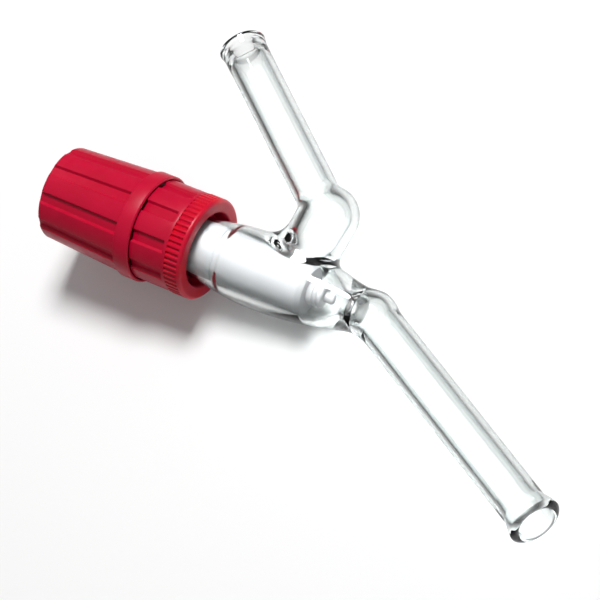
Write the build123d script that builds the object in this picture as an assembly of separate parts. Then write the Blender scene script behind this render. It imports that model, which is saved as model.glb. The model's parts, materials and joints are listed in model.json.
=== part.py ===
"""Glass stopcock with a screw cap that telescopes over a ribbed sleeve, and a white sliding plunger.

Millimetres. The pieces are made in the valve frame: +X runs along the barrel from the cap to the
seat, +Y lies in the plane of the barrel and the side arm, towards that arm, and the origin is the
centre of the serrated ring's mouth. The last section lays the stopcock down as it comes to rest:
+Z up, +X from the side arm's bead towards the end arm's bead, origin under the middle of its box.
"""

from build123d import *
from itertools import combinations
from math import cos, pi, radians, sin
import os

# ---- driving dimensions ----------------------------------------------------------------------

# glass tube of both arms
tube_r = 5.0            # outside radius of the arm tube
tube_bore_r = 3.6       # inside radius of the arm tube

# glass barrel
neck_wall = 1.15        # wall of the neck that the sleeve is screwed on
neck_back = -12.0       # open end of the neck, inside the cap
barrel_wall = 2.1       # wall of the barrel round the chamber
barrel_from = 10.0      # where the barrel reaches its full radius
barrel_to = 17.0        # where it starts to narrow again
shoulder_x = 31.0       # half way down the narrowing
shoulder_wall = 1.4     # wall there, round the closed plunger's end
throat_r = 5.35         # outside radius behind the seat
throat_x = 38.0         # where the barrel has narrowed to the throat
land_bore_r = 5.85      # bore that the plunger slides in
land_end = 5.5          # end of that bore
land_step = 1.2         # length over which the bore widens to the chamber
chamber_step = 0.45     # how much wider the chamber round the plunger's front part is
seat_r = 2.2            # hole through the seat
seat_from = 35.0        # narrow part of the seat
seat_to = 36.6
seat_cone_r = 3.6       # wide end of the cone that the nose closes against
seat_cone_length = 1.8
seat_exit_length = 2.2  # cone from the seat to the end arm's bore

# side arm: a short neck square to the barrel, a blown elbow, and the tube leaning back to the cap
side_x = 21.2           # axis of the side neck along the barrel
side_neck_r = 6.7       # outside radius of the side neck
side_neck_bore_r = 4.5  # inside radius of the side neck
elbow_r = 6.8           # outside radius of the blown elbow
elbow_bore_r = 5.0      # inside radius of the blown elbow
elbow_y = 17.0          # height of the elbow's centre above the barrel axis
junction_fillet = 3.0   # where the side neck runs into the barrel
side_angle = 37.0       # tube against the barrel axis, degrees
side_length = 46.6      # elbow centre to the start of the bead
side_bead_r = 5.4       # outside radius of the bead
side_bead_length = 2.6
side_mouth_r = 3.0      # the mouth has closed in a little under the flame

# end arm: carries on from the seat and leans the other way
end_x = 41.8            # where the end arm's axis leaves the barrel axis
end_angle = 27.3        # tube against the barrel axis, degrees
end_lift = 5.0          # tube out of the plane of the barrel and the side arm, degrees
end_length = 60.7       # elbow centre to the start of the bead
end_bead_r = 6.0        # outside radius of the bead
end_bead_length = 4.4
end_mouth_r = 3.9       # flared mouth

# both beads, as shares of their length
bead_widest = 0.8       # where the bead is widest
mouth_from = 0.2        # the round mouth runs from here
mouth_to = 0.7          # to here

# plunger
running_gap = 0.05      # radial clearance of what turns or slides
plunger_taper = 1.3     # length of the cone on the end of the plunger's thick part
plunger_taper_drop = 0.8    # how much the cone narrows
body_gap = 0.5          # radial room between the front part and the chamber
nose_r = 2.78           # nose that closes the seat
nose_length = 4.1
nose_edge = 0.3         # chamfer of the nose's face
nose_ring_depth = 0.35  # two rings turned in the nose
nose_ring_width = 0.7
nose_rings = (0.42, 0.75)   # their places, as shares of the nose's length
closed_room = 0.35      # room round the thick part's end when the valve is shut
pin_r = 1.1             # small pin at the middle of the nose
pin_length = 2.4
stem_r = 3.2            # stem held in the cap
land_groove_depth = 0.3  # shallow groove behind the sealing land
land_groove_width = 1.0

# cap
cap_back = -38.4        # closed end
cap_back_wall = 1.6     # from the cap's bore to the ribs' crest at the closed end
band_rise = 0.4         # plain band at the open end above the ribs' crest
band_wall = 0.6         # wall of the band round the recess
band_to = -13.3
band_edge = 0.3         # chamfer of the band's front edge
cap_wall = 2.0          # closed end's thickness
cap_edge = 1.1          # rounding of the closed end
recess_gap = 0.15       # between the sleeve's ribs and the wider mouth that takes them
recess_room = 0.2       # left behind those ribs when the valve is shut
recess_web = 0.2        # between that mouth's floor and the grooves' ends
hub_r = 5.6             # hub that holds the plunger's stem
hub_length = 5.0
rib_count = 10
groove_angle = 15.0     # width of a groove between two ribs, degrees
groove_floor = 0.72     # width of a groove's floor, as a share of that
groove_mouth = 1.28     # width one depth above the crest
groove_depth = 0.75
groove_start = 14.0     # first groove, degrees from +Y towards +Z

# sleeve and serrated ring
sleeve_tube_room = 0.7  # from the neck's radius to the bore of the tube that runs inside the cap
sleeve_wall = 1.25      # wall of that tube
sleeve_ribs_rise = 2.4  # from the cap's bore to the crest of the sleeve's ribs
sleeve_ribs_back = -13.2
sleeve_back = -26.0     # back end of the tube
sleeve_step = 0.8       # plain step between the sleeve's ribs and the serrated ring
sleeve_seat_gap = 0.2   # between the neck's open end and the shoulder in the sleeve
ring_rise = 0.1         # tips of the teeth above the sleeve's ribs
ring_length = 4.2
ring_hole_room = 1.55   # round the neck
ring_front_edge = 0.9   # plain rounded rim in front of the teeth
tooth_count = 56
tooth_depth = 0.45
tooth_gap_floor = 0.20  # width of the gap between two teeth at its floor, as a share of the step
tooth_gap_mouth = 0.84  # width of that gap just past the tips

break_edge = 0.4        # small chamfer on turned plastic edges

# travel of the plunger from the pose it is made in
close_travel = 3.6
open_travel = 5.0
screw_pitch = 3.0       # travel for one turn of the cap

# grams per cubic millimetre, for the pose it rests in
glass_density = 2.5e-3
plastic_density = 1.1e-3

# ---- places that follow from them ------------------------------------------------------------

neck_r = land_bore_r + neck_wall
chamber_r = land_bore_r + chamber_step
barrel_r = chamber_r + barrel_wall
sleeve_tube_bore_r = neck_r + sleeve_tube_room
cap_bore_r = sleeve_tube_bore_r + sleeve_wall + running_gap
sleeve_ribs_r = cap_bore_r + sleeve_ribs_rise
ring_r = sleeve_ribs_r + ring_rise
ring_hole_r = neck_r + ring_hole_room
cap_recess_r = sleeve_ribs_r + recess_gap
band_r = cap_recess_r + band_wall
cap_front_r = band_r - band_rise                # crest of the ribs at the band
cap_back_r = cap_bore_r + cap_back_wall         # crest of the ribs at the closed end
cap_recess_depth = close_travel - (sleeve_ribs_back - band_to) + recess_room
band_from = band_to - cap_recess_depth - recess_web

# where the seat's cone has the nose's radius: the nose stops there when the valve is shut
shut_x = seat_from - seat_cone_length * (nose_r - seat_r) / (seat_cone_r - seat_r)
nose_front = shut_x + nose_edge - running_gap - close_travel
plunger_front = nose_front - nose_length        # end of the plunger's thick part
plunger_r = land_bore_r - running_gap
front_r = min(plunger_r, chamber_r - body_gap)
plunger_end_r = front_r - plunger_taper_drop
shoulder_r = plunger_end_r + closed_room + shoulder_wall
hub_face = cap_back + cap_wall + hub_length     # the plunger's shoulder runs against this face
stem_back = cap_back + cap_wall + running_gap * 4

side_elbow = Vector(side_x, elbow_y, 0)
side_dir = Vector(-cos(radians(side_angle)), sin(radians(side_angle)), 0)
end_elbow = Vector(end_x, 0, 0)
end_flat = cos(radians(end_lift))
end_dir = Vector(cos(radians(end_angle)) * end_flat, -sin(radians(end_angle)) * end_flat,
                 sin(radians(end_lift)))

# ---- helpers ---------------------------------------------------------------------------------

def turned(*edges):
    """Solid of revolution about X from an open outline drawn above the X axis."""
    outline = Wire(list(edges))
    start, stop = outline @ 0, outline @ 1
    closing = [Line(stop, (stop.X, 0)), Line((stop.X, 0), (start.X, 0)), Line((start.X, 0), start)]
    closing = [e for e in closing if e.length > 1e-6]
    return revolve(make_face(Wire([*outline.edges(), *closing])), Axis.X, 360)


def straight(*points):
    """Turned solid from an outline of straight lines."""
    return turned(*Polyline(*points).edges())


def rod(start, direction, radius, length):
    """Round rod from a point along a direction."""
    standing = Cylinder(radius, length, align=(Align.CENTER, Align.CENTER, Align.MIN))
    return Plane(start, z_dir=direction) * standing


def along(solid, start, direction):
    """Move a solid made along +X so that it starts at a point and runs along a direction."""
    return Plane(start, x_dir=Vector(0, 0, 1), z_dir=direction) * Rotation(0, -90, 0) * solid


def grooves(solid, radius_from, radius_to, x_from, x_to, depth):
    """Cut the gaps between the ribs: flat floors, slanted walls, radius changing along the length."""
    half = radians(groove_angle / 2)
    for k in range(rib_count):
        cut = []
        for x, r in ((x_from, radius_from), (x_to, radius_to)):
            floor, top = r - depth, r + depth
            low, high = floor * half * groove_floor, top * half * groove_mouth
            cut.append(Plane.YZ.offset(x) * make_face(Polyline(
                (floor, -low), (top, -high), (top, high), (floor, low), close=True)))
        solid -= Rotation(360 * k / rib_count + groove_start, 0, 0) * loft(cut)
    return solid


# ---- glass body ------------------------------------------------------------------------------

def bead(tube_outer, outer, length, mouth, bore):
    """Fire-polished end of a tube and the hole through it, along +X from the start of the bead."""
    face_r = (outer + mouth) / 2
    swell = Spline((0, tube_outer), (length * bead_widest, outer), (length, face_r),
                   tangents=[(1, 0.3), (0, -1)])
    lip = turned(Line((-1, tube_outer), (0, tube_outer)), swell)
    hole = turned(
        Line((-length - 1, bore), (-length, bore)),
        Spline((-length, bore), (length * mouth_from, mouth), tangents=[(1, 0), (1, 0)]),
        Line((length * mouth_from, mouth), (length * mouth_to, mouth)),
        Spline((length * mouth_to, mouth), (length, face_r), tangents=[(1, 0), (0, 1)]),
        Line((length, face_r), (length + 1, face_r)),
    )
    return lip, hole


def glass_outside():
    barrel = turned(
        Line((neck_back, neck_r), (0, neck_r)),
        Spline((0, neck_r), (barrel_from, barrel_r), (barrel_to, barrel_r), (shoulder_x, shoulder_r),
               (throat_x, throat_r), tangents=[(1, 0.1), (1, -0.04)]),
        Line((throat_x, throat_r), (end_x, throat_r)),
    )
    neck = rod((side_x, 0, 0), (0, 1, 0), side_neck_r, elbow_y)
    joint = barrel + neck
    root = [e for e in new_edges(barrel, neck, combined=joint) if e.center().Y < elbow_y - 1]
    joint = fillet(root, junction_fillet) + Pos(side_elbow) * Sphere(elbow_r)
    joint += rod(side_elbow, side_dir, tube_r, side_length)
    joint += Pos(end_elbow) * Sphere(throat_r)
    joint += rod(end_elbow, end_dir, tube_r, end_length)
    return joint


def glass_inside():
    step = land_end + land_step
    narrowing = plunger_front + 2 * closed_room
    shut_front = plunger_front + close_travel + closed_room
    cone, exit_end = seat_from - seat_cone_length, seat_to + seat_exit_length
    bore = turned(
        Line((neck_back - 1, land_bore_r), (land_end, land_bore_r)),
        Line((land_end, land_bore_r), (step, chamber_r)),
        Line((step, chamber_r), (narrowing, chamber_r)),
        Spline((narrowing, chamber_r), (shut_front, plunger_end_r + closed_room), (cone, seat_cone_r),
               tangents=[(1, 0), (1, -0.8)]),
        Line((cone, seat_cone_r), (seat_from, seat_r)),
        Line((seat_from, seat_r), (seat_to, seat_r)),
        Line((seat_to, seat_r), (exit_end, tube_bore_r)),
        Line((exit_end, tube_bore_r), (end_x, tube_bore_r)),
    )
    bore += rod((side_x, 0, 0), (0, 1, 0), side_neck_bore_r, elbow_y)
    bore += Pos(side_elbow) * Sphere(elbow_bore_r)
    bore += rod(side_elbow, side_dir, tube_bore_r, side_length - side_bead_length)
    bore += Pos(end_elbow) * Sphere(tube_bore_r)
    bore += rod(end_elbow, end_dir, tube_bore_r, end_length - end_bead_length)
    return bore


def make_glass_body():
    outside, inside = glass_outside(), glass_inside()
    for elbow, direction, length, outer, bead_length, mouth in (
        (side_elbow, side_dir, side_length, side_bead_r, side_bead_length, side_mouth_r),
        (end_elbow, end_dir, end_length, end_bead_r, end_bead_length, end_mouth_r),
    ):
        lip, hole = bead(tube_r, outer, bead_length, mouth, tube_bore_r)
        start = elbow + direction * length
        outside += along(lip, start, direction)
        inside += along(hole, start, direction)
    return outside - inside


# ---- plunger ---------------------------------------------------------------------------------

def ring_groove(x, radius, depth, width):
    """Ring to cut from a round piece, for a groove that is centred on x."""
    ring = Cylinder(radius + 1, width) - Cylinder(radius - depth, width)
    return Pos(x, 0, 0) * Rotation(0, 90, 0) * ring


def make_plunger():
    shoulder, edge = hub_face + running_gap, break_edge
    body = straight(
        (stem_back, stem_r - edge), (stem_back + edge, stem_r), (shoulder, stem_r),
        (shoulder, plunger_r - edge), (shoulder + edge, plunger_r),
        (land_end, plunger_r), (land_end + edge, front_r),
        (plunger_front - plunger_taper, front_r), (plunger_front, plunger_end_r),
        (plunger_front, nose_r - nose_edge), (plunger_front + 2 * nose_edge, nose_r),
        (nose_front - nose_edge, nose_r), (nose_front, nose_r - nose_edge), (nose_front, pin_r),
        (nose_front + pin_length - edge, pin_r), (nose_front + pin_length, pin_r - edge),
    )
    body -= ring_groove(land_end - land_groove_width / 3, plunger_r, land_groove_depth, land_groove_width)
    for share in nose_rings:
        x = plunger_front + share * nose_length
        body -= ring_groove(x, nose_r, nose_ring_depth, nose_ring_width)
    return body


# ---- cap, sleeve and serrated ring -----------------------------------------------------------

def make_cap():
    e = cap_edge
    bump = (band_r - cap_front_r) / 2
    shell = turned(
        Line((cap_back, 0.01), (cap_back, cap_back_r - e)),
        RadiusArc((cap_back, cap_back_r - e), (cap_back + e, cap_back_r), e),
        Line((cap_back + e, cap_back_r), (band_from, cap_front_r)),
        Line((band_from, cap_front_r), (band_from, band_r - bump)),
        Line((band_from, band_r - bump), (band_from + bump, band_r)),
        Line((band_from + bump, band_r), (band_to - band_edge, band_r)),
        Line((band_to - band_edge, band_r), (band_to, band_r - band_edge)),
    )
    slope = (cap_front_r - cap_back_r) / (band_from - cap_back - e)
    shell = grooves(shell, cap_back_r - slope * (e + 1), cap_front_r, cap_back - 1, band_from, groove_depth)
    floor, recess = cap_back + cap_wall, band_to - cap_recess_depth
    hollow = straight((floor, cap_bore_r), (recess, cap_bore_r), (recess, cap_recess_r),
                      (band_to + 1, cap_recess_r))
    hub = straight((floor - cap_wall / 2, hub_r), (hub_face, hub_r))
    socket = straight((floor, stem_r + running_gap), (hub_face + 1, stem_r + running_gap))
    return shell - hollow + hub - socket


def make_sleeve():
    slide_r = cap_bore_r - running_gap
    outer = straight((sleeve_back, slide_r - break_edge), (sleeve_back + break_edge, slide_r),
                     (sleeve_ribs_back, slide_r), (sleeve_ribs_back, sleeve_ribs_r),
                     (-ring_length, sleeve_ribs_r))
    rib_end = -ring_length - sleeve_step
    outer = grooves(outer, sleeve_ribs_r, sleeve_ribs_r, sleeve_ribs_back - 1, rib_end, groove_depth)
    shoulder = neck_back - sleeve_seat_gap
    bore = straight((sleeve_back - 1, sleeve_tube_bore_r), (shoulder, sleeve_tube_bore_r),
                    (shoulder, neck_r + running_gap), (0, neck_r + running_gap))
    return outer - bore


def make_serrated_ring():
    blank = turned(
        Line((-ring_length, 0.01), (-ring_length, ring_r)),
        Line((-ring_length, ring_r), (-ring_front_edge, ring_r)),
        RadiusArc((-ring_front_edge, ring_r), (0, ring_r - ring_front_edge), ring_front_edge),
    )
    step = 2 * pi / tooth_count
    low, high = ring_r - tooth_depth, ring_r + 1
    floor, mouth = low * step * tooth_gap_floor / 2, high * step * tooth_gap_mouth / 2
    gap = Plane.YZ.offset(-ring_length - 1) * make_face(Polyline(
        (low, -floor), (high, -mouth), (high, mouth), (low, floor), close=True))
    tool = extrude(gap, ring_length + 1 - ring_front_edge)
    blank -= [Rotation(360 * k / tooth_count, 0, 0) * tool for k in range(tooth_count)]
    return blank - straight((-ring_length - 1, ring_hole_r), (1, ring_hole_r))


# ---- the pose it rests in --------------------------------------------------------------------

def round_parts():
    """(centre, axis, ring radius, rounding radius) of everything that could touch the floor."""
    x = Vector(1, 0, 0)
    rounded = [
        (cap_back + cap_edge, cap_back_r - cap_edge, cap_edge), (band_from, band_r, 0), (band_to, band_r, 0),
        (-ring_length, ring_r, 0), (-ring_front_edge, ring_r - ring_front_edge, ring_front_edge),
        (barrel_from, barrel_r, 0), (barrel_to, barrel_r, 0),
    ]
    found = [(Vector(at, 0, 0), x, ring, edge) for at, ring, edge in rounded]
    found += [(side_elbow, x, 0, elbow_r), (end_elbow, x, 0, throat_r)]
    widest = side_length + bead_widest * side_bead_length
    found.append((side_elbow + side_dir * widest, side_dir, side_bead_r, 0))
    widest = end_length + bead_widest * end_bead_length
    found.append((end_elbow + end_dir * widest, end_dir, end_bead_r, 0))
    return found


def lowest(part, up):
    """The lowest point of a round part for a given up direction."""
    centre, axis, ring, edge = part
    across = up - axis * up.dot(axis)
    return centre - (across.normalized() * ring if ring else Vector(0, 0, 0)) - up * edge


def resting_up(mass_centre):
    """The up direction, and the floor's height along it, with the valve on three of its round parts."""
    parts = round_parts()
    best = None
    for three in combinations(parts, 3):
        up = Vector(0, 0, 1)
        for _ in range(40):
            a, b, c = (lowest(p, up) for p in three)
            normal = (b - a).cross(c - a)
            if normal.length < 1:
                break
            up = normal.normalized() if normal.Z > 0 else -normal.normalized()
        a, b, c = (lowest(p, up) for p in three)
        floor = up.dot(a)
        dip = min(up.dot(lowest(p, up)) for p in parts) - floor
        turns = [up.dot((q - p).cross(mass_centre - p)) for p, q in ((a, b), (b, c), (c, a))]
        held = min(turns) > 0 or max(turns) < 0
        if held and (best is None or dip > best[0]):
            best = (dip, up, floor)
    return best[1], best[2]


def rest_frame(pieces):
    """The row frame, seen from the valve frame: floor at Z = 0, X along the line between the beads."""
    weights = [p.volume * (glass_density if name == "glass_body" else plastic_density)
               for name, p in pieces.items()]
    centres = [p.center(CenterOf.MASS) for p in pieces.values()]
    mass_centre = sum((c * w for c, w in zip(centres, weights)), Vector(0, 0, 0)) / sum(weights)
    up, floor = resting_up(mass_centre)
    reach = (end_elbow + end_dir * end_length) - (side_elbow + side_dir * side_length)
    ahead = (reach - up * reach.dot(up)).normalized()
    return Plane(up * floor, x_dir=ahead, z_dir=up)


def build():
    pieces = {
        "glass_body": make_glass_body(),
        "plunger": make_plunger(),
        "cap": make_cap(),
        "sleeve": make_sleeve(),
        "serrated_ring": make_serrated_ring(),
    }
    frame = rest_frame(pieces)
    laid = {name: frame.location.inverse() * piece for name, piece in pieces.items()}
    box = Compound(children=[Compound(p.wrapped) for p in laid.values()]).bounding_box()
    centred = Pos(-(box.min.X + box.max.X) / 2, -(box.min.Y + box.max.Y) / 2, -box.min.Z)
    return {name: centred * piece for name, piece in laid.items()}, centred * frame.location.inverse()


def report_places(place):
    """Print the places that the record needs, in metres in the row frame."""
    def spot(point):
        p = place * Pos(point)
        return [round(v / 1000, 6) for v in p.position]

    origin = Vector(*spot((0, 0, 0)))

    def way(direction):
        d = Vector(*spot(Vector(direction) * 1000)) - origin
        return [round(v, 6) for v in d]

    bore_from = (elbow_bore_r ** 2 - tube_bore_r ** 2) ** 0.5
    for name, elbow, direction, start, length, bead_length in (
            ("side", side_elbow, side_dir, bore_from, side_length, side_bead_length),
            ("end", end_elbow, end_dir, 0, end_length, end_bead_length)):
        stop = length - bead_length
        mouth = length + bead_length * (mouth_from + mouth_to) / 2
        print(name, "axis", way(direction), "elbow", spot(elbow))
        print(name, "bore middle", spot(elbow + direction * (start + stop) / 2), "length", [stop - start])
        depth = bead_length * (mouth_to - mouth_from)
        print(name, "mouth", spot(elbow + direction * mouth), "depth", [depth])
    print("barrel origin", spot((0, 0, 0)), "x", way((1, 0, 0)), "y", way((0, 1, 0)), "z", way((0, 0, 1)))
    print("plunger travel", [-open_travel, close_travel], "pitch", [screw_pitch])


if __name__ == "__main__":
    os.makedirs("parts", exist_ok=True)
    made, place = build()
    for name, piece in made.items():
        export_step(piece, f"parts/{name}.step")
    report_places(place)
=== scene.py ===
"""Glass stopcock: the looks of its five pieces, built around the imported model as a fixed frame.

Pieces are shaped in the valve's own frame, where X runs along the barrel from the cap to the seat,
Y points to the side arm and the origin is the middle of the serrated ring's mouth, and are then laid
down with the valve. Lengths are in metres.
"""

import json
from math import atan2, cos, pi, radians, sin

import bpy
import numpy as np
from bpy.props import FloatProperty, FloatVectorProperty, IntProperty, PointerProperty
from mathutils import Matrix, Vector


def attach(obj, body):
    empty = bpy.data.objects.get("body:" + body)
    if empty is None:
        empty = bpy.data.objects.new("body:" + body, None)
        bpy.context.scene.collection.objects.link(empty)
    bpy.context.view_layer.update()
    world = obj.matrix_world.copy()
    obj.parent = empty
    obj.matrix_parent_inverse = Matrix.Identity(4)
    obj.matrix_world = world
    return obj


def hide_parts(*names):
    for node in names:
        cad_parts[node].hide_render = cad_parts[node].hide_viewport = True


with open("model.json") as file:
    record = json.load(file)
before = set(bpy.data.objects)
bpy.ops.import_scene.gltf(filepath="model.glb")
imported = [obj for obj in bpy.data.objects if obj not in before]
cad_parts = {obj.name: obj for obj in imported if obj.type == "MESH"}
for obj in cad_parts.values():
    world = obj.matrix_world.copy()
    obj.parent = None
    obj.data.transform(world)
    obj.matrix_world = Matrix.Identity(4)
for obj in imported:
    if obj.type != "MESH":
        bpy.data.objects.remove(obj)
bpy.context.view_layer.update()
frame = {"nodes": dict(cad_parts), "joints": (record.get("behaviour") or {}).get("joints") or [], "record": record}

bl_info = {
    "name": "Glass stopcock",
    "version": (1, 0, 0),
    "blender": (4, 5, 0),
    "location": "View3D > Sidebar > Stopcock",
    "description": "Builds a glass stopcock with a ribbed screw cap and a white plunger",
    "category": "Add Mesh",
}

MM = 0.001
TINY = 1e-6
HAIR = 0.02 * MM                # keeps two rings of vertices apart where a shape changes at once

JOINT_OFFSET = 30               # millimetres from the cap's joint to the origin of the valve frame
CHAMBER_CLOSE = 0.68            # how much of its width the chamber keeps half way to the seat
BARREL_BELLY = 0.1 * MM         # fullness of the barrel's back slope
BORE_EASE = 0.35 * MM           # rounding of the corners in the barrel's bore
BEAD_EASE = 0.3 * MM
MOUTH_EASE = 0.5 * MM
WALL_BLEND = 0.9 * MM           # rounding of the edges between the outside and the bore
TURNED_EDGE = 0.4 * MM          # chamfers on the plunger and the sleeve
NOSE_RINGS = (0.42, 0.75)       # places of the nose's two rings, as shares of its length
RING_RIM = 0.25 * MM            # chamfer inside the serrated ring's mouth
TOOTH = (0, 0, 0, 0.75, 1, 0.75)    # depth round one tooth and its gap, as shares of its depth

# azimuth and elevation in degrees, distance and size in metres
KEY_LAMP = (118, 62, 0.75, 0.26)
FILL_LAMP = (-30, 40, 0.9, 0.7)
FLOOR_RADIUS = 1.6

# sizes of the noises in the plastics
FLOW, CLOUD, TEXTURE = 260, 420, 5200


# ---- the valve's own frame, read from the record ---------------------------------------------

def valve_frame():
    """Matrix from the valve frame to the row frame, from the cap's joint and the side arm's mount."""
    record = frame["record"]
    turn = next(j for j in frame["joints"] if j["name"] == "knob_turn")
    mouth = next(m for m in record["mounts"] if m["name"] == "side_arm_mouth")
    x = Vector(turn["axis"]).normalized()
    arm = Vector(mouth["axis"]).normalized()
    y = (arm - x * arm.dot(x)).normalized()
    origin = Vector(turn["pos_m"]) + x * JOINT_OFFSET * MM
    place = Matrix((x, y, x.cross(y))).transposed().to_4x4()
    place.translation = origin
    return place


VALVE = valve_frame()


def direction_in_valve(mount_name):
    """Direction of a mount's axis, seen from the valve frame."""
    mount = next(m for m in frame["record"]["mounts"] if m["name"] == mount_name)
    return (VALVE.to_3x3().transposed() @ Vector(mount["axis"])).normalized()


# ---- sizes and colours -----------------------------------------------------------------------

def length(label, millimetres, text):
    return FloatProperty(name=label, description=text, default=millimetres * MM, min=0.0,
                         unit="LENGTH", precision=5)


def station(label, millimetres, text):
    return FloatProperty(name=label, description=text, default=millimetres * MM,
                         unit="LENGTH", precision=5)


def angle(label, degrees, text):
    return FloatProperty(name=label, description=text, default=radians(degrees), subtype="ANGLE")


def colour(label, value, text):
    return FloatVectorProperty(name=label, description=text, default=value, size=4,
                               min=0.0, max=1.0, subtype="COLOR")


def share(label, value, text):
    return FloatProperty(name=label, description=text, default=value, min=0.0, max=1.0)


class GlassSizes(bpy.types.PropertyGroup):
    tube_r: length("Tube radius", 5.0, "Outside radius of both arms")
    tube_bore_r: length("Tube bore", 3.6, "Inside radius of both arms")
    neck_back: station("Neck's open end", -12.0, "Where the neck ends inside the sleeve")
    neck_r: length("Neck radius", 7.0, "Neck that the sleeve sits on")
    barrel_r: length("Barrel radius", 8.4, "Widest part of the barrel")
    barrel_from: station("Barrel from", 10.0, "Start of the widest part")
    barrel_to: station("Barrel to", 17.0, "End of the widest part")
    shoulder_x: station("Shoulder", 31.0, "Half way down the narrowing")
    shoulder_r: length("Shoulder radius", 6.75, "Radius at the shoulder")
    throat_x: station("Throat", 38.0, "Where the narrowing ends")
    throat_r: length("Throat radius", 5.35, "Radius behind the seat")
    land_bore_r: length("Land bore", 5.85, "Bore that the plunger slides in")
    land_end: station("Land end", 5.5, "End of that bore")
    land_step: length("Land step", 1.2, "Length over which the bore widens")
    chamber_r: length("Chamber radius", 6.3, "Wider chamber round the plunger")
    chamber_end: station("Chamber end", 27.5, "Where the chamber starts to close")
    cone_r: length("Cone radius", 3.6, "Wide end of the seat's cone")
    cone_x: station("Cone", 33.2, "Wide end of the seat's cone")
    seat_r: length("Seat radius", 2.2, "Hole through the seat")
    seat_from: station("Seat from", 35.0, "Start of the seat")
    seat_to: station("Seat to", 36.6, "End of the seat")
    exit_x: station("Seat exit", 38.8, "Where the end arm's bore starts")
    side_x: station("Side neck", 21.2, "Axis of the side neck along the barrel")
    side_neck_r: length("Side neck radius", 6.7, "Outside radius of the side neck")
    side_neck_bore_r: length("Side neck bore", 4.5, "Inside radius of the side neck")
    elbow_r: length("Elbow radius", 6.8, "Outside radius of the blown elbow")
    elbow_bore_r: length("Elbow bore", 5.0, "Inside radius of the blown elbow")
    elbow_y: station("Elbow", 17.0, "Height of the elbow above the barrel's axis")
    side_length: length("Side arm", 46.6, "Elbow to the start of the bead")
    side_bead_r: length("Side bead radius", 5.4, "Widest part of the side arm's bead")
    side_bead: length("Side bead", 2.6, "Length of the side arm's bead")
    side_mouth_r: length("Side mouth", 3.0, "Hole through the side arm's bead")
    end_x: station("End elbow", 41.8, "Where the end arm leaves the barrel's axis")
    end_length: length("End arm", 60.7, "Elbow to the start of the bead")
    end_bead_r: length("End bead radius", 6.0, "Widest part of the end arm's bead")
    end_bead: length("End bead", 4.4, "Length of the end arm's bead")
    end_mouth_r: length("End mouth", 3.9, "Hole through the end arm's bead")
    root_blend: length("Root blend", 4.2, "How wide the side neck runs into the barrel")
    root_from: station("Root from", 1.0, "Height above the barrel's axis where that blend starts")
    root_rise: length("Root rise", 4.0, "Height over which that blend reaches its width")
    bend_blend: length("Bend blend", 1.3, "How wide the tubes run into the elbows")
    lip_round: length("Lip", 0.9, "Rounding of the fire-polished mouths")
    grain: length("Mesh size", 0.36, "Size of the glass mesh's faces")


class PlungerSizes(bpy.types.PropertyGroup):
    stem_back: station("Stem end", -36.2, "End of the stem in the cap")
    stem_r: length("Stem radius", 3.2, "Stem held in the cap")
    shoulder: station("Shoulder", -31.35, "Where the thick part starts")
    plunger_r: length("Radius", 5.8, "Thick part, in the sliding bore")
    land_end: station("Land end", 5.5, "End of the sealing land")
    front_r: length("Front radius", 5.8, "Radius of the front part")
    taper_from: station("Taper", 25.5, "Where the front part's cone starts")
    front: station("Front", 26.8, "End of the thick part")
    front_end_r: length("Front end radius", 5.0, "Radius at the end of the cone")
    nose_r: length("Nose radius", 2.78, "Nose that closes the seat")
    nose_front: station("Nose", 30.9, "Face of the nose")
    nose_edge: length("Nose edge", 0.3, "Chamfer of the nose's face, which meets the seat's cone")
    ring_depth: length("Nose ring depth", 0.35, "Depth of the two rings in the nose")
    ring_width: length("Nose ring width", 0.7, "Width of the two rings in the nose")
    pin_r: length("Pin radius", 1.1, "Small pin in front of the nose")
    pin_end: station("Pin end", 33.3, "Tip of the small pin")
    groove_depth: length("Land groove", 0.3, "Depth of the groove behind the land")
    groove_width: length("Groove width", 1.0, "Width of the groove behind the land")
    edge: length("Edge", 0.14, "Rounding of turned edges")
    steps: IntProperty(name="Steps", description="Faces round the plunger", default=96, min=24)


class CapSizes(bpy.types.PropertyGroup):
    back: station("Closed end", -38.4, "Closed end of the cap")
    back_r: length("Back radius", 10.6, "Crest of the ribs at the closed end")
    front_r: length("Front radius", 11.75, "Crest of the ribs at the band")
    band_r: length("Band radius", 12.15, "Plain band at the open end")
    band_from: station("Band from", -17.2, "Start of the band")
    band_to: station("Band to", -13.3, "Open end of the cap")
    wall: length("End wall", 2.0, "Thickness of the closed end")
    round_r: length("Rounding", 1.1, "Rounding of the closed end")
    bore_r: length("Bore", 9.0, "Bore that slides over the sleeve")
    recess_r: length("Recess", 11.55, "Wider mouth that takes the sleeve's ribs")
    recess: length("Recess depth", 3.7, "Depth of that mouth")
    hub_r: length("Hub", 5.6, "Hub that holds the plunger's stem")
    hub: length("Hub length", 5.0, "Length of the hub")
    socket_r: length("Socket", 3.25, "Hole in the hub")
    dish_r: length("Dish radius", 7.6, "Shallow dish in the closed end")
    dish: length("Dish depth", 0.35, "Depth of that dish")
    ribs: IntProperty(name="Ribs", description="Ribs round the cap and the sleeve", default=10, min=3)
    groove_start: angle("First groove", 14.0, "First groove, from the side arm's side")
    groove_floor: angle("Groove floor", 11.6, "Width of a groove's floor")
    groove_depth: length("Groove depth", 0.75, "Depth of the grooves between the ribs")
    rib_steps: IntProperty(name="Steps in a rib", description="Faces in one rib and groove",
                           default=25, min=9)
    edge: length("Edge", 0.13, "Rounding of the moulded edges")


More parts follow.
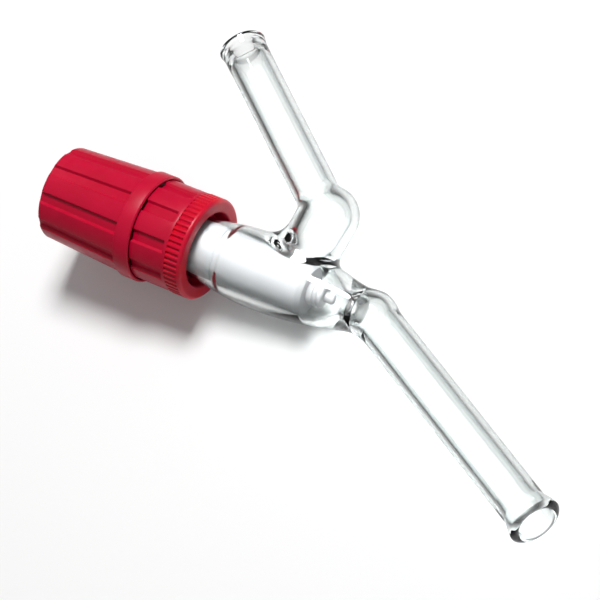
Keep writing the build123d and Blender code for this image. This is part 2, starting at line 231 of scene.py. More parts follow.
class SleeveSizes(bpy.types.PropertyGroup):
    back: station("Back end", -26.0, "End of the tube inside the cap")
    slide_r: length("Tube radius", 8.95, "Tube that runs inside the cap")
    ribs_r: length("Rib radius", 11.4, "Crest of the sleeve's ribs")
    ribs_back: station("Ribs from", -13.2, "Back end of the ribs")
    ribs_front: station("Ribs to", -5.0, "Front end of the ribs")
    front: station("Front", -4.2, "Face that the serrated ring sits on")
    tube_bore_r: length("Tube bore", 7.7, "Bore of the tube")
    seat_x: station("Neck shoulder", -12.2, "Shoulder behind the glass neck")
    neck_bore_r: length("Neck bore", 7.05, "Bore round the glass neck")
    ring_r: length("Ring radius", 11.5, "Tips of the serrated ring's teeth")
    ring_hole_r: length("Ring hole", 8.55, "Hole through the serrated ring")
    ring_edge: length("Ring edge", 0.9, "Rounded rim in front of the teeth")
    teeth: IntProperty(name="Teeth", description="Teeth round the serrated ring", default=56, min=8)
    tooth_depth: length("Tooth depth", 0.45, "Depth of the teeth")


class Finishes(bpy.types.PropertyGroup):
    glass: colour("Glass", (0.94, 0.955, 0.95, 1), "Clear glass with a faint green cast")
    glass_ior: FloatProperty(name="Refraction", description="How much the glass bends light",
                             default=1.474, min=1.0, max=3.0)
    glass_waves: share("Waves", 0.05, "Strength of the glass's faint drawn waves")
    white: colour("White plastic", (0.60, 0.60, 0.615, 1), "Turned white plastic")
    crimson: colour("Crimson", (0.47, 0.0005, 0.028, 1), "Moulded crimson plastic")
    crimson_dark: colour("Dark crimson", (0.41, 0.0005, 0.022, 1), "Crimson plastic in its flow marks")
    red: colour("Red", (0.56, 0.001, 0.012, 1), "Brighter plastic of the serrated ring")
    floor: colour("Floor", (0.80, 0.80, 0.80, 1), "Plain pale floor")


class StudioSettings(bpy.types.PropertyGroup):
    azimuth: angle("Azimuth", 15.641, "Where the camera stands, round from +X")
    elevation: angle("Elevation", 54.987, "How high the camera stands")
    roll: angle("Roll", 49.348, "How far the camera is turned about its own axis")
    distance: length("Distance", 910.0, "From the camera to its aim")
    aim_x: station("Aim X", -5.95, "Point that the camera is aimed at")
    aim_y: station("Aim Y", 8.30, "Point that the camera is aimed at")
    aim_z: station("Aim Z", 10.0, "Point that the camera is aimed at")
    lens: FloatProperty(name="Lens", description="Focal length in millimetres", default=256.6, min=1)
    key: FloatProperty(name="Key light", description="Power of the key light in watts", default=6.4)
    fill: FloatProperty(name="Fill light", description="Power of the fill light in watts", default=0.6)
    sky: FloatProperty(name="Sky", description="Light from all round on the object", default=0.22)
    floor_glow: FloatProperty(name="Floor glow", description="White added to the floor as it is seen",
                              default=0.05)


GROUPS = {
    "stopcock_glass": GlassSizes,
    "stopcock_plunger": PlungerSizes,
    "stopcock_cap": CapSizes,
    "stopcock_sleeve": SleeveSizes,
    "stopcock_finishes": Finishes,
    "stopcock_studio": StudioSettings,
}


# ---- mesh helpers ----------------------------------------------------------------------------

def deselect():
    if bpy.context.object and bpy.context.object.mode != "OBJECT":
        bpy.ops.object.mode_set(mode="OBJECT")
    bpy.ops.object.select_all(action="DESELECT")


def hold(piece):
    """Make a piece the only selected object."""
    deselect()
    piece.select_set(True)
    bpy.context.view_layer.objects.active = piece


def lathe(name, outline, steps):
    """Turn a closed outline of (x, radius) points about X, as on a lathe."""
    deselect()
    x, r = outline[0]
    bpy.ops.mesh.primitive_plane_add(size=MM, location=(0, 0, 0))
    piece = bpy.context.object
    piece.name = piece.data.name = name
    bpy.ops.object.mode_set(mode="EDIT")
    bpy.ops.mesh.select_all(action="SELECT")
    bpy.ops.mesh.merge(type="CENTER")
    bpy.ops.transform.translate(value=(x, r, 0))
    for nx, nr in [*outline[1:], outline[0]]:
        bpy.ops.mesh.extrude_vertices_move(TRANSFORM_OT_translate={"value": (nx - x, nr - r, 0)})
        x, r = nx, nr
    bpy.ops.mesh.select_all(action="SELECT")
    bpy.ops.mesh.spin(steps=steps, angle=2 * pi, center=(0, 0, 0), axis=(1, 0, 0))
    bpy.ops.mesh.select_all(action="SELECT")
    bpy.ops.mesh.remove_doubles(threshold=2 * TINY)
    bpy.ops.mesh.dissolve_degenerate(threshold=TINY)
    bpy.ops.mesh.select_all(action="SELECT")
    bpy.ops.mesh.normals_make_consistent(inside=False)
    bpy.ops.object.mode_set(mode="OBJECT")
    return piece


def quarter(x, r, radius, start, stop, count=5):
    """Points of an arc about (x, r), angles in degrees from +X towards the outside."""
    turn = [radians(start + (stop - start) * k / count) for k in range(count + 1)]
    return [(x + radius * cos(a), r + radius * sin(a)) for a in turn]


def reshape(piece, radius_at):
    """Move each vertex in or out to the radius that radius_at(x, radius, angle) gives."""
    for v in piece.data.vertices:
        r = (v.co.y ** 2 + v.co.z ** 2) ** 0.5
        if r > TINY:
            k = radius_at(v.co.x, r, atan2(v.co.z, v.co.y)) / r
            v.co.y *= k
            v.co.z *= k


def apply_modifier(piece, kind, **settings):
    hold(piece)
    modifier = piece.modifiers.new(kind.title(), kind)
    for key, value in settings.items():
        setattr(modifier, key, value)
    bpy.ops.object.modifier_apply(modifier=modifier.name)


def round_edges(piece, width, sharper_than=28, segments=2):
    apply_modifier(piece, "BEVEL", width=width, segments=segments, limit_method="ANGLE",
                   angle_limit=radians(sharper_than), harden_normals=False)


def lay_down(piece, body, slot, *nodes):
    """Smooth a piece, put it where the valve lies and join it to its body."""
    hold(piece)
    bpy.ops.object.shade_smooth_by_angle(angle=radians(32))
    piece.matrix_world = VALVE
    bpy.ops.object.transform_apply(location=True, rotation=True, scale=True)
    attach(piece, body)
    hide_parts(*nodes)


def finish_with(piece, material):
    piece.data.materials.clear()
    piece.data.materials.append(material)


# ---- materials -------------------------------------------------------------------------------

def new_material(name):
    material = bpy.data.materials.new(name)
    material.use_nodes = True
    tree = material.node_tree
    tree.nodes.clear()
    out = tree.nodes.new("ShaderNodeOutputMaterial")
    shader = tree.nodes.new("ShaderNodeBsdfPrincipled")
    tree.links.new(shader.outputs[0], out.inputs["Surface"])
    return material, tree, shader, out


def valve_coordinates(tree):
    """Object coordinates turned into the valve's frame, so that marks run along and round its axis."""
    place = tree.nodes.new("ShaderNodeTexCoord")
    turn = tree.nodes.new("ShaderNodeMapping")
    turn.vector_type = "TEXTURE"
    turn.inputs["Location"].default_value = VALVE.translation
    turn.inputs["Rotation"].default_value = VALVE.to_euler()
    tree.links.new(place.outputs["Object"], turn.inputs["Vector"])
    return turn.outputs["Vector"]


def noise(tree, vector, scale, detail=3.0, stretch=None):
    """Noise over the valve's frame, stretched along X where stretch is given."""
    if stretch:
        squeeze = tree.nodes.new("ShaderNodeMapping")
        squeeze.inputs["Scale"].default_value = stretch
        tree.links.new(vector, squeeze.inputs["Vector"])
        vector = squeeze.outputs["Vector"]
    node = tree.nodes.new("ShaderNodeTexNoise")
    node.inputs["Scale"].default_value = scale
    node.inputs["Detail"].default_value = detail
    tree.links.new(vector, node.inputs["Vector"])
    return node.outputs["Fac"]


def spread(tree, factor, low, high):
    """A noise's middle range mapped to low..high."""
    node = tree.nodes.new("ShaderNodeMapRange")
    node.inputs["From Min"].default_value = 0.3
    node.inputs["From Max"].default_value = 0.7
    node.inputs["To Min"].default_value = low
    node.inputs["To Max"].default_value = high
    tree.links.new(factor, node.inputs["Value"])
    return node.outputs["Result"]


def bump(tree, shader, height, strength, distance):
    node = tree.nodes.new("ShaderNodeBump")
    node.inputs["Strength"].default_value = strength
    node.inputs["Distance"].default_value = distance
    tree.links.new(height, node.inputs["Height"])
    tree.links.new(node.outputs["Normal"], shader.inputs["Normal"])


def moulded_plastic(name, base, dark, roughness, marks):
    """Satin injection-moulded plastic: flow marks, fine texture and slightly uneven gloss."""
    material, tree, shader, _ = new_material(name)
    vector = valve_coordinates(tree)
    flow = noise(tree, vector, FLOW, 4.0, marks)
    mix = tree.nodes.new("ShaderNodeMix")
    mix.data_type = "RGBA"
    mix.inputs["A"].default_value = dark
    mix.inputs["B"].default_value = base
    tree.links.new(spread(tree, flow, 0, 1), mix.inputs["Factor"])
    tree.links.new(mix.outputs["Result"], shader.inputs["Base Color"])
    cloud = noise(tree, vector, CLOUD, 2.0)
    tree.links.new(spread(tree, cloud, roughness - 0.05, roughness + 0.06), shader.inputs["Roughness"])
    bump(tree, shader, noise(tree, vector, TEXTURE, 2.0), 0.10, 0.00004)
    shader.inputs["Specular IOR Level"].default_value = 0.28
    return material


def turned_plastic(name, base):
    """Waxy white plastic with the faint rings that turning leaves, round the valve's axis."""
    material, tree, shader, _ = new_material(name)
    vector = valve_coordinates(tree)
    rings = tree.nodes.new("ShaderNodeTexWave")
    rings.wave_type = "BANDS"
    rings.bands_direction = "X"
    rings.inputs["Scale"].default_value = 900
    rings.inputs["Distortion"].default_value = 0.8
    rings.inputs["Detail"].default_value = 2
    tree.links.new(vector, rings.inputs["Vector"])
    cloud = noise(tree, vector, 300, 3.0)
    mix = tree.nodes.new("ShaderNodeMix")
    mix.data_type = "RGBA"
    mix.inputs["A"].default_value = (base[0] * 0.97, base[1] * 0.97, base[2] * 0.98, 1)
    mix.inputs["B"].default_value = base
    tree.links.new(spread(tree, cloud, 0, 1), mix.inputs["Factor"])
    tree.links.new(mix.outputs["Result"], shader.inputs["Base Color"])
    tree.links.new(spread(tree, cloud, 0.36, 0.46), shader.inputs["Roughness"])
    bump(tree, shader, rings.outputs["Fac"], 0.06, 0.00003)
    shader.inputs["Subsurface Weight"].default_value = 0.12
    shader.inputs["Subsurface Radius"].default_value = (0.0012, 0.0011, 0.0010)
    shader.inputs["Subsurface Scale"].default_value = 1.0
    return material


# painted shade: the glass's colour as a wall turns away from view, a faint green tint of thick glass plus painted
# dark edge lines that stand in for dark surroundings seen through the edges: (turn, colour)
GLASS_TINT_AND_PAINTED_EDGE_SHADE = (
    (0.27, (0.90, 0.92, 0.915, 1)),
    (0.32, (0.66, 0.70, 0.695, 1)),
    (0.38, (0.84, 0.87, 0.865, 1)),
    (0.58, (0.70, 0.745, 0.74, 1)),
    (0.74, (0.34, 0.38, 0.38, 1)),
    (0.86, (0.10, 0.125, 0.125, 1)),
    (1.0, (0.03, 0.04, 0.04, 1)),
)


def clear_glass(name, tint, ior, waves):
    """Clear flame-worked glass, darkened towards its edges with painted shade. Its shadow lets the light through,
    as thin clear glass does.
    """
    material, tree, shader, out = new_material(name)
    vector = valve_coordinates(tree)
    edge = tree.nodes.new("ShaderNodeLayerWeight")
    edge.inputs["Blend"].default_value = 0.5
    # painted shade: this facing ramp darkens the glass's colour at grazing walls into painted dark edge lines,
    # over a faint real tint
    depth = tree.nodes.new("ShaderNodeValToRGB")
    ramp = depth.color_ramp
    ramp.elements[0].color = tint
    ramp.elements[1].color = GLASS_TINT_AND_PAINTED_EDGE_SHADE[-1][1]
    for place, level in GLASS_TINT_AND_PAINTED_EDGE_SHADE[:-1]:
        ramp.elements.new(place).color = level
    tree.links.new(edge.outputs["Facing"], depth.inputs["Fac"])
    tree.links.new(depth.outputs["Color"], shader.inputs["Base Color"])
    shader.inputs["Roughness"].default_value = 0.0
    shader.inputs["IOR"].default_value = ior
    shader.inputs["Transmission Weight"].default_value = 1.0
    bump(tree, shader, noise(tree, vector, 90, 1.0), waves, 0.0004)
    path = tree.nodes.new("ShaderNodeLightPath")
    through = tree.nodes.new("ShaderNodeBsdfTransparent")
    through.inputs["Color"].default_value = (0.93, 0.94, 0.94, 1)
    mix = tree.nodes.new("ShaderNodeMixShader")
    tree.links.new(path.outputs["Is Shadow Ray"], mix.inputs[0])
    tree.links.new(shader.outputs[0], mix.inputs[1])
    tree.links.new(through.outputs[0], mix.inputs[2])
    tree.links.new(mix.outputs[0], out.inputs["Surface"])
    return material


# ---- the glass's form ------------------------------------------------------------------------

def soft_min(a, b, width):
    """The smaller of two distances, with the crease between them filled over a width."""
    near = np.maximum(width - np.abs(a - b), 0) / width
    return np.minimum(a, b) - near * near * width / 4


def soft_max(a, b, width):
    return -soft_min(-a, -b, width)


def eased(stations, radii, ease):
    """A radius along an axis: straight between stations, with each corner eased over a length."""
    fine = np.arange(stations[0] - 4 * ease, stations[-1] + 4 * ease, ease / 8)
    drawn = np.interp(fine, stations, radii)
    kernel = np.hanning(18)
    smooth = np.convolve(np.pad(drawn, 8, mode="edge"), kernel / kernel.sum(), mode="same")[8:-8]
    return lambda x: np.interp(x, fine, smooth)


def flowing(stations, radii):
    """A radius along an axis that flows through its stations without a corner."""
    stations, radii = np.array(stations), np.array(radii)
    slopes = np.gradient(radii, stations)
    slopes[0] = slopes[-1] = 0

    def radius(x):
        x = np.clip(x, stations[0], stations[-1])
        i = np.clip(np.searchsorted(stations, x) - 1, 0, len(stations) - 2)
        h = stations[i + 1] - stations[i]
        t = (x - stations[i]) / h
        return ((1 + 2 * t) * (1 - t) ** 2 * radii[i] + t * (1 - t) ** 2 * h * slopes[i]
                + t * t * (3 - 2 * t) * radii[i + 1] + t * t * (t - 1) * h * slopes[i + 1])
    return radius


def from_ray(p, start, way, radius):
    """Distance to the wall of a tube that starts round at a point; radius(s) is its radius."""
    s = (p - start) @ way
    off = np.linalg.norm(p - start - np.maximum(s, 0)[:, None] * way, axis=1)
    return off - radius(np.maximum(s, 0))


class GlassForm:
    """Signed distance, in metres and negative in the glass, for points in the valve frame."""

    def __init__(self, g):
        self.g = g
        self.side = np.array(direction_in_valve("side_arm_mouth"))
        self.end = np.array(direction_in_valve("end_arm_bore"))
        self.side_elbow = np.array((g.side_x, g.elbow_y, 0))
        self.end_elbow = np.array((g.end_x, 0, 0))
        self.barrel = flowing(
            (g.neck_back, 0, g.barrel_from / 2, g.barrel_from, g.barrel_to, g.shoulder_x, g.throat_x,
             g.end_x),
            (g.neck_r, g.neck_r, (g.neck_r + g.barrel_r) / 2 + BARREL_BELLY, g.barrel_r, g.barrel_r,
             g.shoulder_r, g.throat_r, g.throat_r))
        self.bore = eased(
            (g.neck_back - 2 * MM, g.land_end, g.land_end + g.land_step, g.chamber_end,
             (g.chamber_end + g.cone_x) / 2, g.cone_x, g.seat_from, g.seat_to, g.exit_x, g.end_x),
            (g.land_bore_r, g.land_bore_r, g.chamber_r, g.chamber_r,
             g.cone_r + (g.chamber_r - g.cone_r) * CHAMBER_CLOSE, g.cone_r, g.seat_r, g.seat_r,
             g.tube_bore_r, g.tube_bore_r), BORE_EASE)
        self.side_outer = self.bead(g.side_length, g.side_bead, g.side_bead_r)
        self.end_outer = self.bead(g.end_length, g.end_bead, g.end_bead_r)
        self.side_bore = self.mouth(g.side_length, g.side_bead, g.side_mouth_r)
        self.end_bore = self.mouth(g.end_length, g.end_bead, g.end_mouth_r)

    def bead(self, start, size, radius):
        g = self.g
        return eased((0, start, start + 0.55 * size, start + 0.8 * size, start + size),
                     (g.tube_r, g.tube_r, radius - 0.05 * size, radius, radius - 0.12 * size), BEAD_EASE)

    def mouth(self, start, size, radius):
        g = self.g
        return eased((0, start - size, start + 0.2 * size, start + size),
                     (g.tube_bore_r, g.tube_bore_r, radius, radius), MOUTH_EASE)

    def __call__(self, p):
        g = self.g
        x, off = p[:, 0], np.hypot(p[:, 1], p[:, 2])
        past = np.linalg.norm(p - self.end_elbow, axis=1)
        beyond = x > g.end_x
        barrel = np.where(beyond, past - g.throat_r, off - self.barrel(x))
        barrel = np.maximum(barrel, g.neck_back - x)
        bore = np.where(beyond, past - g.tube_bore_r, off - self.bore(x))
        rise = np.clip(p[:, 1], 0, g.elbow_y)
        neck_off = np.linalg.norm(p - np.stack((np.full_like(x, g.side_x), rise, 0 * x), 1), axis=1)
        swell = np.clip(rise / g.elbow_y, 0, 1) ** 3
        neck = neck_off - (g.side_neck_r + (g.elbow_r - g.side_neck_r) * swell)
        neck_bore = neck_off - (g.side_neck_bore_r + (g.elbow_bore_r - g.side_neck_bore_r) * swell)
        side = from_ray(p, self.side_elbow, self.side, self.side_outer)
        end = from_ray(p, self.end_elbow, self.end, self.end_outer)
        root = g.root_blend * np.clip((p[:, 1] - g.root_from) / g.root_rise, 0.02, 1)
        outer = soft_min(barrel, neck, root)
        outer = soft_min(outer, side, g.bend_blend)
        outer = soft_min(outer, end, g.bend_blend)
        inner = soft_min(bore, neck_bore, g.bend_blend)
        inner = soft_min(inner, from_ray(p, self.side_elbow, self.side, self.side_bore), g.bend_blend)
        inner = soft_min(inner, from_ray(p, self.end_elbow, self.end, self.end_bore), g.bend_blend)
        side_face = (p - self.side_elbow) @ self.side - g.side_length - g.side_bead
        end_face = (p - self.end_elbow) @ self.end - g.end_length - g.end_bead
        outer = soft_max(outer, side_face, g.lip_round)
        outer = soft_max(outer, end_face, g.lip_round)
        return soft_max(outer, -inner, WALL_BLEND)

    def slope(self, p):
        """Gradient by central differences."""
        step = 0.01 * MM
        out = np.empty_like(p)
        for k in range(3):
            shift = np.zeros(3)
            shift[k] = step
            out[:, k] = (self(p + shift) - self(p - shift)) / (2 * step)
        return out


def settle(piece, form, rounds=7):
    """Move each vertex onto the form's surface and give it the surface's own normal."""
    mesh = piece.data
    points = np.empty(len(mesh.vertices) * 3)
    mesh.vertices.foreach_get("co", points)
    points = points.reshape(-1, 3)
    for _ in range(rounds):
        slope = form.slope(points)
        size = np.maximum((slope * slope).sum(1), 0.05)
        move = slope * (form(points) / size)[:, None]
        far = np.linalg.norm(move, axis=1) / (0.5 * MM)
        points -= move / np.maximum(far, 1)[:, None]
    mesh.vertices.foreach_set("co", points.ravel())
    mesh.update()
    mesh.shade_smooth()
    slope = form.slope(points)
    mesh.normals_split_custom_set_from_vertices(slope / np.linalg.norm(slope, axis=1)[:, None])


# ---- operators: one for each piece -----------------------------------------------------------

class MESH_OT_glass_body(bpy.types.Operator):
    """Build the blown glass body: barrel, side neck, elbows and both arms, hollow throughout"""
    bl_idname = "mesh.stopcock_glass_body"
    bl_label = "Glass body"

    def execute(self, context):
        g, look = context.scene.stopcock_glass, context.scene.stopcock_finishes
        mesh = frame["nodes"]["glass_body"].data.copy()
        piece = bpy.data.objects.new("glass_blown_body", mesh)
        context.scene.collection.objects.link(piece)
        mesh.transform(VALVE.inverted())
        hold(piece)
        bpy.ops.object.mode_set(mode="EDIT")
        bpy.ops.mesh.select_all(action="SELECT")
        bpy.ops.mesh.remove_doubles(threshold=TINY)
        bpy.ops.object.mode_set(mode="OBJECT")
        apply_modifier(piece, "REMESH", mode="VOXEL", voxel_size=g.grain)
        piece.matrix_world = Matrix.Identity(4)
        settle(piece, GlassForm(g))
        hold(piece)
        piece.matrix_world = VALVE
        bpy.ops.object.transform_apply(location=True, rotation=True, scale=True)
        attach(piece, "glass")
        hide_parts("glass_body")
        finish_with(piece, clear_glass("Clear flame-worked glass", look.glass, look.glass_ior,
                                       look.glass_waves))
        return {"FINISHED"}


class MESH_OT_plunger(bpy.types.Operator):
    """Turn the white plunger with its land, cone, ringed nose and pin"""
    bl_idname = "mesh.stopcock_plunger"
    bl_label = "Plunger"

    def execute(self, context):
        s, look = context.scene.stopcock_plunger, context.scene.stopcock_finishes
        edge = TURNED_EDGE
        groove = s.land_end - s.groove_width
        outline = [
            (s.stem_back, 0), (s.stem_back, s.stem_r - edge), (s.stem_back + edge, s.stem_r),
            (s.shoulder, s.stem_r), (s.shoulder, s.plunger_r - edge), (s.shoulder + edge, s.plunger_r),
            (groove, s.plunger_r), (groove, s.plunger_r - s.groove_depth),
            (s.land_end, s.plunger_r - s.groove_depth), (s.land_end, s.front_r),
            (s.taper_from, s.front_r), (s.front, s.front_end_r), (s.front, s.nose_r - edge / 2),
            (s.front + edge, s.nose_r),
        ]
        for place in NOSE_RINGS:
            x = s.front + place * (s.nose_front - s.front)
            half, low = s.ring_width / 2, s.nose_r - s.ring_depth
            outline += [(x - half, s.nose_r), (x - half, low), (x + half, low), (x + half, s.nose_r)]
        outline += [
            (s.nose_front - s.nose_edge, s.nose_r), (s.nose_front, s.nose_r - s.nose_edge),
            (s.nose_front, s.pin_r), (s.pin_end - edge, s.pin_r), (s.pin_end, s.pin_r - edge),
            (s.pin_end, 0),
        ]
        piece = lathe("plunger_turned", outline, s.steps)
        round_edges(piece, s.edge)
        lay_down(piece, "slider", "white_plastic", "plunger")
        finish_with(piece, turned_plastic("Turned white plastic", look.white))
        return {"FINISHED"}


def in_groove(c, turn):
    """True within the floor of a groove between two ribs."""
    pitch = 2 * pi / c.ribs
    off = (turn - c.groove_start + pitch / 2) % pitch - pitch / 2
    return abs(off) < c.groove_floor / 2


def turn_to_grooves(piece, c):
    """Turn a lathed piece by less than one face, so that its faces meet the grooves' middles."""
    face = 2 * pi / (c.ribs * c.rib_steps)
    piece.data.transform(Matrix.Rotation(c.groove_start % face, 4, "X"))


class MESH_OT_cap(bpy.types.Operator):
    """Mould the ribbed cap: tapered grooves, plain band, rounded closed end and inner hub"""
    bl_idname = "mesh.stopcock_cap"
    bl_label = "Cap"

    def execute(self, context):
        c, look = context.scene.stopcock_cap, context.scene.stopcock_finishes
        step = (c.band_r - c.front_r) / 2
        floor = c.back + c.wall
        inner_end = floor + c.hub
        outline = [
            (c.back + c.dish, 0), (c.back + c.dish, c.dish_r - c.dish), (c.back, c.dish_r),
            *quarter(c.back + c.round_r, c.back_r - c.round_r, c.round_r, 180, 90, 7),
            (c.band_from, c.front_r), (c.band_from + HAIR, c.band_r - step),
            (c.band_from + step, c.band_r), (c.band_to - 0.3 * MM, c.band_r),
            (c.band_to, c.band_r - 0.3 * MM), (c.band_to, c.recess_r), (c.band_to - c.recess, c.recess_r),
            (c.band_to - c.recess, c.bore_r), (floor, c.bore_r), (floor, c.hub_r), (inner_end, c.hub_r),
            (inner_end, c.socket_r), (floor, c.socket_r), (floor, 0),
        ]
        piece = lathe("cap_moulded", outline, c.ribs * c.rib_steps)
        turn_to_grooves(piece, c)
        slope = (c.front_r - c.back_r) / (c.band_from - c.back - c.round_r)

        def radius(x, r, turn):
            crest = c.back_r + slope * (x - c.back - c.round_r)
            outside = r > c.bore_r + 0.2 * MM and x < c.band_from + 0.01 * MM
            if outside and in_groove(c, turn):
                return min(r, crest - c.groove_depth)
            return r

        reshape(piece, radius)
        round_edges(piece, c.edge)
        lay_down(piece, "knob", "crimson_plastic", "cap")
        finish_with(piece, moulded_plastic("Moulded crimson plastic", look.crimson, look.crimson_dark,
                                           0.36, (0.35, 1, 1)))
        return {"FINISHED"}


class MESH_OT_sleeve(bpy.types.Operator):
    """Mould the sleeve that the cap slides over: a tube with short ribs in front"""
    bl_idname = "mesh.stopcock_sleeve"
    bl_label = "Sleeve"

    def execute(self, context):
        s, c = context.scene.stopcock_sleeve, context.scene.stopcock_cap
        look = context.scene.stopcock_finishes
        edge = TURNED_EDGE
        outline = [
            (s.back, s.tube_bore_r), (s.back, s.slide_r - edge), (s.back + edge, s.slide_r),
            (s.ribs_back, s.slide_r), (s.ribs_back, s.ribs_r), (s.ribs_front - HAIR, s.ribs_r),
            (s.ribs_front, s.ribs_r), (s.front, s.ribs_r), (s.front, s.neck_bore_r),
            (s.seat_x, s.neck_bore_r), (s.seat_x, s.tube_bore_r),
        ]
        piece = lathe("sleeve_moulded", outline, c.ribs * c.rib_steps)
        turn_to_grooves(piece, c)

        def radius(x, r, turn):
            if r > s.ribs_r - HAIR and x < s.ribs_front - HAIR / 2 and in_groove(c, turn):
                return s.ribs_r - c.groove_depth
            return r

        reshape(piece, radius)
        round_edges(piece, c.edge)
        lay_down(piece, "glass", "crimson_plastic", "sleeve")
        finish_with(piece, moulded_plastic("Moulded crimson sleeve plastic", look.crimson,
                                           look.crimson_dark, 0.36, (0.35, 1, 1)))
        return {"FINISHED"}


class MESH_OT_serrated_ring(bpy.types.Operator):
    """Mould the bright serrated ring round the sleeve's mouth"""
    bl_idname = "mesh.stopcock_serrated_ring"
    bl_label = "Serrated ring"

    def execute(self, context):
        s, look = context.scene.stopcock_sleeve, context.scene.stopcock_finishes
        steps = s.teeth * len(TOOTH)
        outline = [
            (s.front, s.ring_hole_r), (s.front, s.ring_r), (-s.ring_edge - HAIR, s.ring_r),
            *quarter(-s.ring_edge, s.ring_r - s.ring_edge, s.ring_edge, 90, 0, 6),
            (0, s.ring_hole_r + RING_RIM), (-RING_RIM, s.ring_hole_r),
        ]
        piece = lathe("serrated_ring_moulded", outline, steps)

        def radius(x, r, turn):
            if r > s.ring_r - HAIR and x < -s.ring_edge - HAIR / 2:
                place = round(turn / (2 * pi) * steps) % len(TOOTH)
                return s.ring_r - s.tooth_depth * TOOTH[place]
            return r

        reshape(piece, radius)
        round_edges(piece, 0.05 * MM)
        lay_down(piece, "glass", "red_plastic", "serrated_ring")
        finish_with(piece, moulded_plastic("Moulded red plastic", look.red, look.crimson, 0.34,
                                           (1, 1, 1)))
        return {"FINISHED"}


# ---- the stage -------------------------------------------------------------------------------

# what glass and gloss show of the floor: (how slantwise the ray meets it, share of its brightness)
FLOOR_FALL = ((0.0, 1.0), (0.30, 0.95), (0.50, 0.45), (0.75, 0.16), (1.0, 0.10))
# what they show of the room round the table: (height of the ray, brightness)
ROOM = ((0.0, 0.08), (0.25, 0.10), (0.55, 0.30), (1.0, 0.70))


def look_from(place, aim, roll=0.0):
    """Rotation of a camera or lamp at a place that looks at an aim, turned by roll."""
    turn = (Vector(aim) - Vector(place)).to_track_quat("-Z", "Y").to_matrix().to_4x4()
    return Matrix.Translation(place) @ turn @ Matrix.Rotation(roll, 4, "Z")


def round_about(aim, azimuth, elevation, distance):
    """A point at an azimuth, elevation and distance from an aim."""
    flat = cos(elevation)
    return Vector(aim) + distance * Vector((flat * cos(azimuth), flat * sin(azimuth), sin(elevation)))


def soft_lamp(name, aim, azimuth, elevation, distance, size, power):
    data = bpy.data.lights.new(name, "AREA")
    data.shape = "DISK"
    data.size = size
    data.energy = power
    lamp = bpy.data.objects.new(name, data)
    bpy.context.scene.collection.objects.link(lamp)
    place = round_about(aim, radians(azimuth), radians(elevation), distance)
    lamp.matrix_world = look_from(place, aim)


def seen_ray(tree):
    """1 for rays that show a thing to the camera, straight, mirrored or through glass."""
    path = tree.nodes.new("ShaderNodeLightPath")
    found = path.outputs["Is Camera Ray"]
    for other in ("Is Glossy Ray", "Is Transmission Ray"):
        both = tree.nodes.new("ShaderNodeMath")
        both.operation = "MAXIMUM"
        tree.links.new(found, both.inputs[0])
        tree.links.new(path.outputs[other], both.inputs[1])
        found = both.outputs[0]
    return found


def ramp_of(tree, factor, levels):
    """Grey levels along a factor, from (place, level) pairs that start at 0 and end at 1."""
    node = tree.nodes.new("ShaderNodeValToRGB")
    stops = node.color_ramp.elements
    for place, level in levels:
        stop = stops[0] if place == 0.0 else stops[-1] if place == 1.0 else stops.new(place)
        stop.color = (level, level, level, 1)
    tree.links.new(factor, node.inputs["Fac"])
    return node.outputs["Color"]


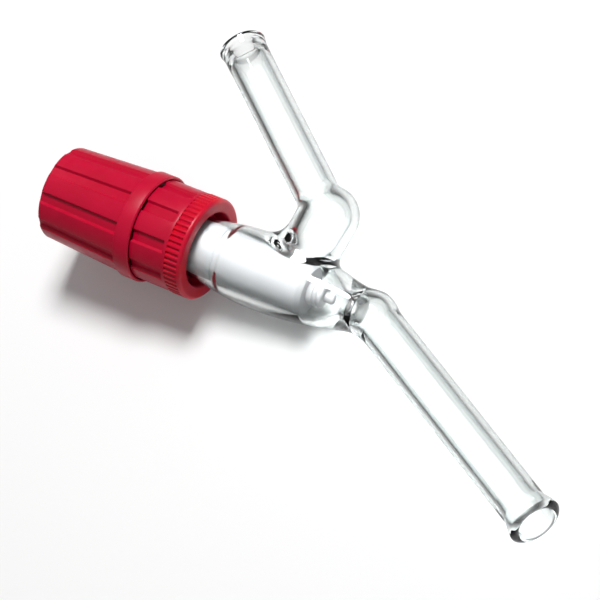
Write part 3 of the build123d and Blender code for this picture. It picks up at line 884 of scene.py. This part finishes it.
class SCENE_OT_studio(bpy.types.Operator):
    """Set up the pale floor, the soft lamps, the white surroundings and the camera"""
    bl_idname = "scene.stopcock_studio"
    bl_label = "Studio"

    def execute(self, context):
        scene = context.scene
        s, look = scene.stopcock_studio, scene.stopcock_finishes
        scene.view_settings.view_transform = "Standard"
        self.floor(look, s)
        self.surroundings(scene, s)
        aim = Vector((0, 0, 0.01))
        soft_lamp("key_lamp", aim, *KEY_LAMP, s.key)
        soft_lamp("fill_lamp", aim, *FILL_LAMP, s.fill)
        self.camera(scene, s)
        return {"FINISHED"}

    def floor(self, look, s):
        deselect()
        bpy.ops.mesh.primitive_circle_add(vertices=96, radius=FLOOR_RADIUS, fill_type="NGON")
        floor = bpy.context.object
        floor.name = "studio_floor"
        material, tree, shader, out = new_material("Pale floor")
        tree.nodes.remove(shader)
        matt = tree.nodes.new("ShaderNodeBsdfDiffuse")
        matt.inputs["Color"].default_value = look.floor
        glow = tree.nodes.new("ShaderNodeEmission")
        level = tree.nodes.new("ShaderNodeMath")
        level.operation = "MULTIPLY"
        level.inputs[1].default_value = s.floor_glow
        tree.links.new(seen_ray(tree), level.inputs[0])
        tree.links.new(level.outputs[0], glow.inputs["Strength"])
        both = tree.nodes.new("ShaderNodeAddShader")
        tree.links.new(matt.outputs[0], both.inputs[0])
        tree.links.new(glow.outputs[0], both.inputs[1])
        slant = tree.nodes.new("ShaderNodeLayerWeight")
        slant.inputs["Blend"].default_value = 0.5
        fall = ramp_of(tree, slant.outputs["Facing"], FLOOR_FALL)
        path = tree.nodes.new("ShaderNodeLightPath")
        kept = tree.nodes.new("ShaderNodeMix")
        kept.data_type = "FLOAT"
        kept.inputs["B"].default_value = 1.0
        tree.links.new(self.plain_ray(tree, path), kept.inputs["Factor"])
        tree.links.new(fall, kept.inputs["A"])
        dark = tree.nodes.new("ShaderNodeEmission")
        dark.inputs["Strength"].default_value = 0.0
        seen = tree.nodes.new("ShaderNodeMixShader")
        tree.links.new(kept.outputs["Result"], seen.inputs[0])
        tree.links.new(dark.outputs[0], seen.inputs[1])
        tree.links.new(both.outputs[0], seen.inputs[2])
        tree.links.new(seen.outputs[0], out.inputs["Surface"])
        finish_with(floor, material)

    def plain_ray(self, tree, path):
        """1 for rays that don't come through glass or off a gloss."""
        bent = tree.nodes.new("ShaderNodeMath")
        bent.operation = "MAXIMUM"
        tree.links.new(path.outputs["Is Glossy Ray"], bent.inputs[0])
        tree.links.new(path.outputs["Is Transmission Ray"], bent.inputs[1])
        plain = tree.nodes.new("ShaderNodeMath")
        plain.operation = "SUBTRACT"
        plain.inputs[0].default_value = 1.0
        tree.links.new(bent.outputs[0], plain.inputs[1])
        return plain.outputs[0]

    def surroundings(self, scene, s):
        world = bpy.data.worlds.new("White surroundings")
        scene.world = world
        world.use_nodes = True
        tree = world.node_tree
        back = tree.nodes["Background"]
        path = tree.nodes.new("ShaderNodeLightPath")
        height = tree.nodes.new("ShaderNodeSeparateXYZ")
        ray = tree.nodes.new("ShaderNodeTexCoord")
        tree.links.new(ray.outputs["Generated"], height.inputs[0])
        room = ramp_of(tree, height.outputs["Z"], ROOM)
        shown = self.either(tree, path.outputs["Is Camera Ray"], (1, 1, 1, 1), room)
        lit = self.either(tree, seen_ray(tree), shown, (s.sky, s.sky, s.sky, 1))
        tree.links.new(lit, back.inputs["Color"])

    def either(self, tree, chooser, chosen, other):
        """One colour where the chooser is 1, and another where it is 0."""
        mix = tree.nodes.new("ShaderNodeMix")
        mix.data_type = "RGBA"
        tree.links.new(chooser, mix.inputs["Factor"])
        for value, name in ((chosen, "B"), (other, "A")):
            if isinstance(value, tuple):
                mix.inputs[name].default_value = value
            else:
                tree.links.new(value, mix.inputs[name])
        return mix.outputs["Result"]

    def camera(self, scene, s):
        data = bpy.data.cameras.new("camera")
        data.lens = s.lens
        data.sensor_width = 36
        data.clip_end = 10
        camera = bpy.data.objects.new("camera", data)
        scene.collection.objects.link(camera)
        aim = Vector((s.aim_x, s.aim_y, s.aim_z))
        place = round_about(aim, s.azimuth, s.elevation, s.distance)
        camera.matrix_world = look_from(place, aim, -s.roll)
        scene.camera = camera


OPERATORS = (MESH_OT_glass_body, MESH_OT_plunger, MESH_OT_cap, MESH_OT_sleeve, MESH_OT_serrated_ring,
             SCENE_OT_studio)


class VIEW3D_PT_stopcock(bpy.types.Panel):
    """Lists the stopcock's pieces in the 3D view's sidebar"""
    bl_label = "Glass stopcock"
    bl_idname = "VIEW3D_PT_stopcock"
    bl_space_type = "VIEW_3D"
    bl_region_type = "UI"
    bl_category = "Stopcock"

    def draw(self, context):
        for operator in OPERATORS:
            self.layout.operator(operator.bl_idname, text=operator.bl_label)


CLASSES = (*GROUPS.values(), *OPERATORS, VIEW3D_PT_stopcock)


def register():
    for cls in CLASSES:
        bpy.utils.register_class(cls)
    for name, group in GROUPS.items():
        setattr(bpy.types.Scene, name, PointerProperty(type=group))


def unregister():
    for name in GROUPS:
        delattr(bpy.types.Scene, name)
    for cls in reversed(CLASSES):
        bpy.utils.unregister_class(cls)


def main():
    register()
    bpy.ops.mesh.stopcock_glass_body()
    bpy.ops.mesh.stopcock_plunger()
    bpy.ops.mesh.stopcock_cap()
    bpy.ops.mesh.stopcock_sleeve()
    bpy.ops.mesh.stopcock_serrated_ring()
    bpy.ops.scene.stopcock_studio()


if __name__ == "__main__":
    main()
